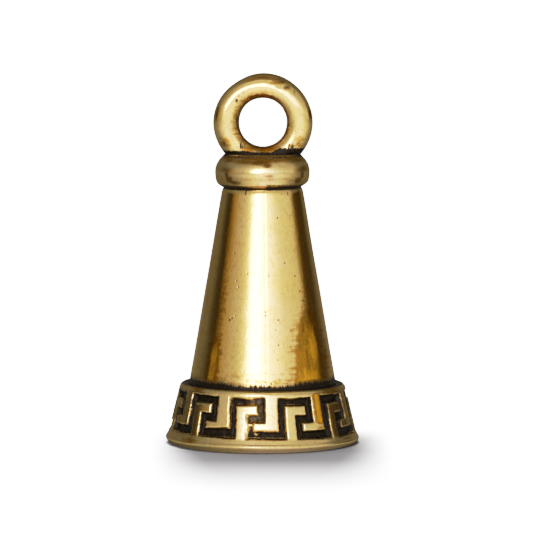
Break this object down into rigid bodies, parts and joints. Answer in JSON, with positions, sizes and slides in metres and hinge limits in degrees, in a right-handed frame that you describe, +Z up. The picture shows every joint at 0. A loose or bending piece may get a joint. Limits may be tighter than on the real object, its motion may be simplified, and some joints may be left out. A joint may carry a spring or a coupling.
{
  "type": "cone charm",
  "caption": "Hollow cast cone charm with a hanging loop, a barrel collar and a flared band with a sunk Greek key, in gold with blackened recesses.",
  "frame": {"origin": "centre of the rim that the charm stands on", "axes": "+Z up through the cone to the loop; the loop's flat sides face -Y, the front in the picture, and +Y"},
  "size_m": [0.0102, 0.0102, 0.0198],
  "materials": {
    "antique_gold": "polished gold plate on cast pewter, blackened in the recesses"
  },
  "bodies": {
    "root": {"charm": "antique_gold"}
  },
  "joints": []
}
